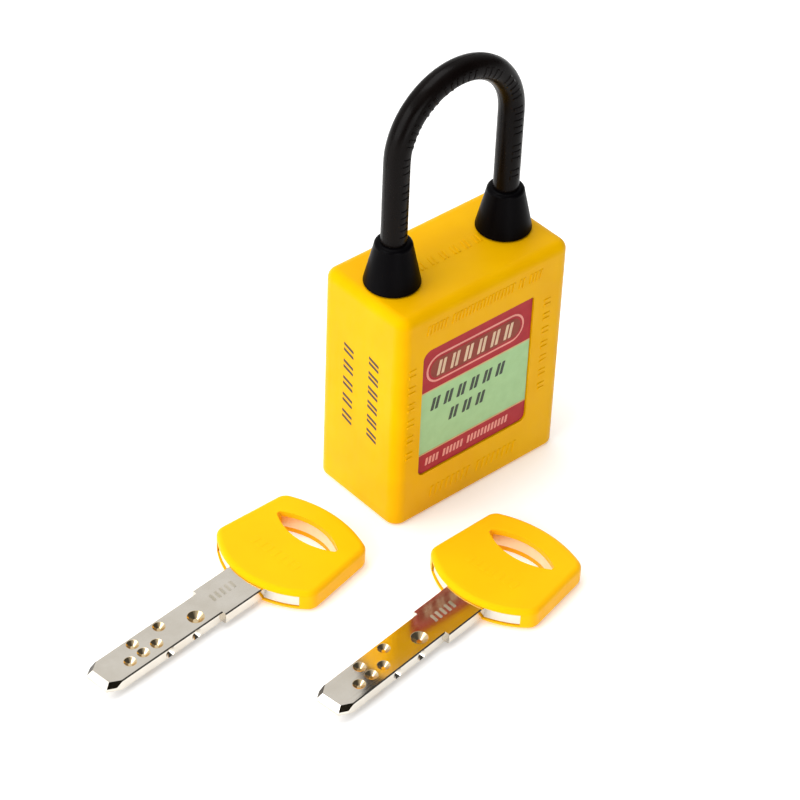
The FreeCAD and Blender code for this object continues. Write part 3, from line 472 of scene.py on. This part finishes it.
def build_body_marks():
    """Rows of plain raised bars on the front and the top, and two printed rows on the side."""
    def moulded(name, groups, pitch, size, place, lean=0.0):
        mark_row(name, groups, pitch * MM, (size[0] * MM, size[1] * MM), place, yellow,
                 "padlock_body", MOULDED_RELIEF, lean=lean)

    moulded("front_bars_above", (6, 18, 2, 4), 0.79, (0.4, 1.9), on_front(-0.5 * MM, 40.6 * MM),
            MOULDED_LEAN)
    moulded("front_bars_below", (8, 8), 1.2, (0.55, 2.3), on_front(-1.0 * MM, 4.3 * MM),
            MOULDED_LEAN)
    for name, count, x, z in (("left", 6, -16.3, 24.1), ("right", 7, 14.2, 24.4)):
        pitch = UPRIGHT_LONG / count / 3  # a pair and the gap after it take three pitches
        moulded("front_bars_" + name, (2,) * count, pitch, (0.5, 1.5), up_front(x * MM, z * MM))
    moulded("top_bars", (2,) * 6, 0.83, (0.45, 2.2), on_top(0.4 * MM, 0.2 * MM), MOULDED_LEAN)
    for name, count, pitch, y, z in (("rear", 5, 1.2, 2.9, 24.0), ("front", 6, 1.03, -3.5, 24.4)):
        mark_row("side_print_" + name, (2,) * count, pitch * MM, (0.6 * MM, 2.5 * MM),
                 on_left(y * MM, z * MM), print_brown, "padlock_body", INK_FILM,
                 sink=0, lean=0.3)


# ---- shackle ---------------------------------------------------------------------------------

BARS_START, BARS_STOP = 1.6 * MM, 2.5 * MM  # from the heel boot's rim and from the toe boot's
BAR_PITCH = 1.3 * MM
WORD_GAP = 1.1 * MM
FIRST_WORD = 5                      # the bars in the first group
WORDS = (3, 4, 5, 6)
BAR_LENGTHS = (0.5, 0.85)
BAR_WIDTH = 2.1 * MM
BAR_RELIEF = 0.14 * MM
BAR_SINK = 0.05 * MM
BAR_ANGLE, BAR_WANDER = 96, 4       # degrees from the outside of the U
PAD_STEPS = (-1, -0.72, -0.25, 0.25, 0.72, 1)
RIDGE_STEPS = 160
RIDGE_HALF = 0.07 * MM
RIDGE_SINK = 0.02 * MM
RIDGE_RELIEF = 0.035 * MM
RIDGE_MARGIN = 0.3 * MM


def on_rod(along, angle, out):
    """A point of the shackle's rod above the boots. along starts at the heel boot's rim, and
    angle turns from the outside of the U towards the front face."""
    reach = rod_radius + out
    outward = math.cos(angle) * reach
    y = -math.sin(angle) * reach
    if along < leg_long:
        return Vector((-leg_x - outward, y, rim_z + along))
    if along > rod_long - leg_long:
        return Vector((leg_x + outward, y, rim_z + rod_long - along))
    turn = (along - leg_long) / leg_x
    radius = leg_x + outward
    return Vector((-math.cos(turn) * radius, y, arch_z + math.sin(turn) * radius))


def rod_pad(builder, along, angle, length):
    """A soft-edged bar on the rod: length along it, and BAR_WIDTH round it."""
    outs = (-BAR_SINK,) + (BAR_RELIEF,) * 4 + (-BAR_SINK,)
    skin(builder, [
        [builder.verts.new(on_rod(along + share_u * length / 2,
                                  angle + share_v * BAR_WIDTH / 2 / rod_radius,
                                  min(out_u, out_v)))
         for share_v, out_v in zip(PAD_STEPS, outs)]
        for share_u, out_u in zip(PAD_STEPS, outs)])


def build_shackle_bars():
    """Raised bars in groups along the rod's front, uneven in length and place."""
    chance = random.Random(7)
    builder = bmesh.new()
    along = BARS_START
    in_group = 0
    group = FIRST_WORD
    while along < rod_long - BARS_STOP:
        length = chance.uniform(*BAR_LENGTHS) * MM
        angle = math.radians(BAR_ANGLE + chance.uniform(-BAR_WANDER, BAR_WANDER))
        rod_pad(builder, along, angle, length)
        along += BAR_PITCH
        in_group += 1
        if in_group == group:
            along += WORD_GAP
            in_group = 0
            group = chance.choice(WORDS)
    to_piece("shackle_bars", builder, black, "shackle")


def build_shackle_ridges():
    """The mould's faint parting ridges, on the outside and the inside of the U."""
    half = RIDGE_HALF / rod_radius
    profile = ((-half, -RIDGE_SINK), (0, RIDGE_RELIEF), (half, -RIDGE_SINK))
    for name, angle in (("outer", 0.0), ("inner", math.pi)):
        builder = bmesh.new()
        rows = []
        for step in range(RIDGE_STEPS + 1):
            here = RIDGE_MARGIN + (rod_long - RIDGE_MARGIN * 2) * step / RIDGE_STEPS
            rows.append([builder.verts.new(on_rod(here, angle + turn, out))
                         for turn, out in profile])
        skin(builder, rows)
        to_piece("shackle_ridge_" + name, builder, black, "shackle")


# ---- springs as pieces of their own ----------------------------------------------------------


def live_spring(name):
    """A spring of the frame as a piece of its own, a copy of the CAD one, which is hidden."""
    piece = bpy.data.objects.new(name + "_live", nodes[name].data.copy())
    bpy.context.scene.collection.objects.link(piece)
    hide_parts(name)
    return piece


def build_springs():
    """The bolt spring rides on the padlock body with a mesh of its own, and the shackle's spring
    has its place baked into its mesh.
    """
    piece = live_spring("bolt_spring")
    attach(piece, "padlock_body")
    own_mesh(piece)
    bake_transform(live_spring("shackle_spring"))


# ---- keys, in each key's own millimetres -----------------------------------------------------

KEY_ORIGINS = {"key_1": (-48.95, -6.4), "key_2": (-23.55, -32.95)}
SIDES = (1, -1)

SHANK_LONG = 8.1
BLADE_LONG = 25.3
BLADE_HALF = 3.2
THICK_HALF = 1.1
TIP_HALF = 2.3
TIP_LONG = 1.5
TIP_BEVEL = 0.8
EDGE_BEVEL = 0.2
NOSE_HALF = 0.25
NOSE_LONG = 0.95
TIP_LIFTS = (-0.02, 0.012)          # the painted dark reflection plate's underside and face, out of the bevel

FIRST_DIMPLE = 3.95
DIMPLE_PITCH = 2.95
DIMPLES = ((0, -0.9, True), (2, 1.7, False), (3, -0.9, False), (4, 1.7, False), (4, -0.9, False),
           (5, -0.9, False))        # the station, its row across the blade, and if it is large
DEEP_AND_MOUTH = {True: (0.9, 1.5), False: (0.65, 1.1)}
DIMPLE_FLOOR = 0.3                  # a dimple's floor, as a share of its mouth
DIMPLE_RING = 28
LINING = 0.015                      # how far a lining lies above the drilled metal
LINING_LAP = 0.03                   # how far its rim reaches over the blade's face
LAP_LIFT, LAP_DROP = 0.004, 0.02

STAMP_AT = (-4.6, 0.4)
BOW_BARS_AT = 7.6

SLOT_END = (15.5, 6.9)
SLOT_FAR = 17.65
SLOT_STEPS = 24
SLOT_REACH = 0.95                   # the metal edge's share of the slot's half length
SLOT_METAL_FACE = 0.03              # how far the edge lies in front of the slot's wall
SLOT_METAL_DEEP = 0.1
SLOT_METAL_LOW, SLOT_METAL_HIGH = 1.0, 3.2


def key_frame(name):
    """Turns a key's own millimetres, with +X from blade to bow, into a place."""
    x, y = KEY_ORIGINS[name]
    return Matrix.Translation(Vector((x, y, 0)) * MM) @ Matrix.Rotation(KEY_TURNS[name], 4, "Z")


def dimple_lining(builder, to_place, x, y, middle, side, profile):
    """A cup of rings about x, y. profile is each ring's radius and its height from the middle."""
    loops = []
    for radius, height in profile:
        loop = []
        for step in range(DIMPLE_RING):
            angle = 2 * math.pi * step / DIMPLE_RING
            point = Vector((x + radius * math.cos(angle), y + radius * math.sin(angle),
                            middle + height * side)) * MM
            loop.append(builder.verts.new(to_place @ point))
        loops.append(loop)
    walls(builder, loops)
    builder.faces.new(loops[-1])


def build_dimple_linings(name, to_place, middle, half):
    """The brass that shows in the dimples, on both faces of the blade."""
    builder = bmesh.new()
    for side in SIDES:
        for station, row, large in DIMPLES:
            deep, mouth = DEEP_AND_MOUTH[large]
            profile = ((mouth + LINING_LAP, half + LAP_LIFT),
                       (mouth - LINING_LAP, half - LAP_DROP + LINING),
                       (mouth * DIMPLE_FLOOR, half - deep + LINING))
            dimple_lining(builder, to_place, -(SHANK_LONG + FIRST_DIMPLE + DIMPLE_PITCH * station),
                          row * side, middle, side, profile)
    to_piece(name + "_dimple_linings", builder, dimple_brass, name)


def tip_dark_reflection_plate(builder, to_place, middle, edge, face):
    """A thin dark plate on one bevelled corner of a key's tip, a painted dark reflection. It ends
    where the nose's slope and the blade's edge trim the bevel. edge and face are 1 or -1."""
    back, out = TIP_LONG, BLADE_HALF - TIP_HALF
    inward = Vector((out, -back)).normalized()
    low = THICK_HALF - TIP_BEVEL
    slope = (THICK_HALF - NOSE_HALF) / NOSE_LONG

    def start(deep):
        return ((low + deep - NOSE_HALF) / slope - inward.x * deep) / back

    side = TIP_BEVEL - EDGE_BEVEL
    corners = ((0, start(0)), (0, 1), (side, 1 - inward.y * side / out),
               (TIP_BEVEL, 1 - (EDGE_BEVEL + inward.y * TIP_BEVEL) / out),
               (TIP_BEVEL, start(TIP_BEVEL)))
    normal = Vector((-inward.x, -inward.y, 1)).normalized()
    loops = []
    for lift in TIP_LIFTS:
        loop = []
        for deep, share in corners:
            point = Vector((back * share + inward.x * deep - SHANK_LONG - BLADE_LONG,
                            TIP_HALF + out * share + inward.y * deep, low + deep)) + normal * lift
            turned = Vector((point.x, point.y * edge, middle + point.z * face))
            loop.append(builder.verts.new(to_place @ (turned * MM)))
        loops.append(loop)
    solid(builder, loops)


def build_tip_dark_reflections(name, to_place, middle):
    """Painted dark reflections on the corners of a key's tip, on both edges and both faces."""
    builder = bmesh.new()
    for edge in SIDES:
        for face in SIDES:
            tip_dark_reflection_plate(builder, to_place, middle, edge, face)
    to_piece(name + "_tip_dark_reflections", builder, painted_dark_reflection, name)


def build_key_bars(name, to_place, blade_top, bow_top):
    """Plain bars for the stamp on the shank and the faint moulded row on the bow."""
    def on_shank(u, v, w):
        return to_place @ Vector((STAMP_AT[0] * MM + u, STAMP_AT[1] * MM + v, blade_top + w))

    def on_bow(u, v, w):
        return to_place @ Vector((BOW_BARS_AT * MM - v, u, bow_top + w))

    mark_row(name + "_stamp", (5,), pitch=1.15 * MM, size=(0.6 * MM, 1.7 * MM), place=on_shank,
             finish=stamp_metal, body=name, relief=0.012 * MM, sink=0,
             lean=0.15)
    mark_row(name + "_bow_bars", (7,), pitch=1.6 * MM, size=(1.0 * MM, 1.9 * MM), place=on_bow,
             finish=bow_yellow, body=name, relief=0.035 * MM)


def build_slot_edge(name, to_place):
    """The blank's metal edge, a thin curved strip on the far wall of the bow's slot, lighter than
    the real metal as a painted reflection of the bright floor.
    """
    builder = bmesh.new()
    end_x, end_y = SLOT_END
    reach = SLOT_REACH * end_y
    section = ((0, SLOT_METAL_LOW), (0, SLOT_METAL_HIGH), (SLOT_METAL_DEEP, SLOT_METAL_HIGH),
               (SLOT_METAL_DEEP, SLOT_METAL_LOW))
    loops = []
    for step in range(SLOT_STEPS + 1):
        y = -reach + 2 * reach * step / SLOT_STEPS
        x = end_x + (SLOT_FAR - end_x) * (1 - (y / end_y) ** 2) - SLOT_METAL_FACE
        loops.append([builder.verts.new(to_place @ (Vector((x + back, y, z)) * MM))
                      for back, z in section])
    solid(builder, loops)
    to_piece(name + "_slot_edge", builder, slot_metal_and_reflection, name)


def build_key_details(name):
    """A key's drilled dimples, painted dark reflections on its tip corners, plain bars and the
    metal edge in its slot.
    """
    blade_low, blade_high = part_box(name + "_blade")
    to_place = key_frame(name)
    middle = (blade_low.z + blade_high.z) / 2 / MM
    half = (blade_high.z - blade_low.z) / 2 / MM
    build_dimple_linings(name, to_place, middle, half)
    build_tip_dark_reflections(name, to_place, middle)
    build_key_bars(name, to_place, blade_high.z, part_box(name + "_bow")[1].z)
    build_slot_edge(name, to_place)


# ---- stage, lights and camera ----------------------------------------------------------------

FLOOR_HALF = 3.0
LIGHT_AIM = Vector((0, 0, 0.03))
BRIGHT_SIDE = (-0.25, 0.85, 0.45)   # the surround is bright behind and dim in front
CAMERA_ANGLES = (-42.62, 39.57, 2.59)  # azimuth, elevation and roll, in degrees
CAMERA_BACK = 523.1 * MM
CAMERA_LEFT, CAMERA_DOWN = 7.33 * MM, 7.48 * MM
SENSOR_WIDTH = 36                   # the sensor and the lens are in millimetres, as Blender's are
LENS = 136.4


def build_floor():
    """A plain pale floor."""
    mesh = bpy.data.meshes.new("floor")
    corners = [(x * FLOOR_HALF, y * FLOOR_HALF, 0) for x, y in ((-1, -1), (1, -1), (1, 1), (-1, 1))]
    mesh.from_pydata(corners, [], [(0, 1, 2, 3)])
    item, _, _ = new_material("floor_white", roughness=0.6, Base_Color=(0.93, 0.93, 0.93, 1),
                              Emission_Color=(1, 1, 1, 1), Emission_Strength=0.24)
    mesh.materials.append(item)
    floor = bpy.data.objects.new("floor", mesh)
    bpy.context.scene.collection.objects.link(floor)


def add_light(name, place, size, power):
    """A square area light that faces the object."""
    data = bpy.data.lights.new(name, "AREA")
    data.size = size
    data.energy = power
    light = bpy.data.objects.new(name, data)
    light.location = place
    light.rotation_euler = (LIGHT_AIM - Vector(place)).to_track_quat("-Z", "Y").to_euler()
    bpy.context.scene.collection.objects.link(light)


def build_lights():
    """A white surround that darkens towards the front, three soft lights and a small panel."""
    world = bpy.data.worlds.new("studio")
    world.use_nodes = True
    tree = world.node_tree
    background = tree.nodes["Background"]
    background.inputs["Color"].default_value = (1.0, 0.995, 0.985, 1)
    place = tree.nodes.new("ShaderNodeTexCoord")
    towards = tree.nodes.new("ShaderNodeVectorMath")
    towards.operation = "DOT_PRODUCT"
    towards.inputs[1].default_value = BRIGHT_SIDE
    tree.links.new(place.outputs["Generated"], towards.inputs[0])
    strength = spread(tree, towards.outputs["Value"], low=0.07, high=0.86, start=-0.22, end=0.42)
    tree.links.new(strength, background.inputs["Strength"])
    bpy.context.scene.world = world
    bpy.context.scene.view_settings.view_transform = "Standard"
    add_light("key", place=(-0.75, 0.05, 0.36), size=0.6, power=4.0)
    add_light("panel", place=(-0.63, 0.36, 0.59), size=0.38, power=0.5)
    add_light("above", place=(-0.05, 0.15, 0.9), size=0.6, power=4.2)
    add_light("fill", place=(-0.3, -0.85, 0.2), size=0.45, power=2.3)


def build_camera():
    """A long lens, above and to the left of the front face, with a slight roll."""
    azimuth, elevation, roll = (math.radians(angle) for angle in CAMERA_ANGLES)
    level = math.cos(elevation)
    back = Vector((math.sin(azimuth) * level, -math.cos(azimuth) * level, math.sin(elevation)))
    across = Vector((math.cos(azimuth), math.sin(azimuth), 0))
    upward = back.cross(across)
    right = across * math.cos(roll) + upward * math.sin(roll)
    up = upward * math.cos(roll) - across * math.sin(roll)
    aim = Vector((0, 0, (body_low.z + body_high.z) / 2))
    place = aim + back * CAMERA_BACK - right * CAMERA_LEFT - up * CAMERA_DOWN
    data = bpy.data.cameras.new("camera")
    data.sensor_width = SENSOR_WIDTH
    data.lens = LENS
    data.clip_start = 0.05
    camera = bpy.data.objects.new("camera", data)
    facing = Matrix((right, up, back)).transposed().to_4x4()
    camera.matrix_world = Matrix.Translation(place) @ facing
    bpy.context.scene.collection.objects.link(camera)
    bpy.context.scene.camera = camera


build_label_print()
build_body_marks()
build_shackle_bars()
build_shackle_ridges()
build_springs()
for key in KEY_ORIGINS:
    build_key_details(key)
build_floor()
build_lights()
build_camera()

bpy.context.view_layer.update()
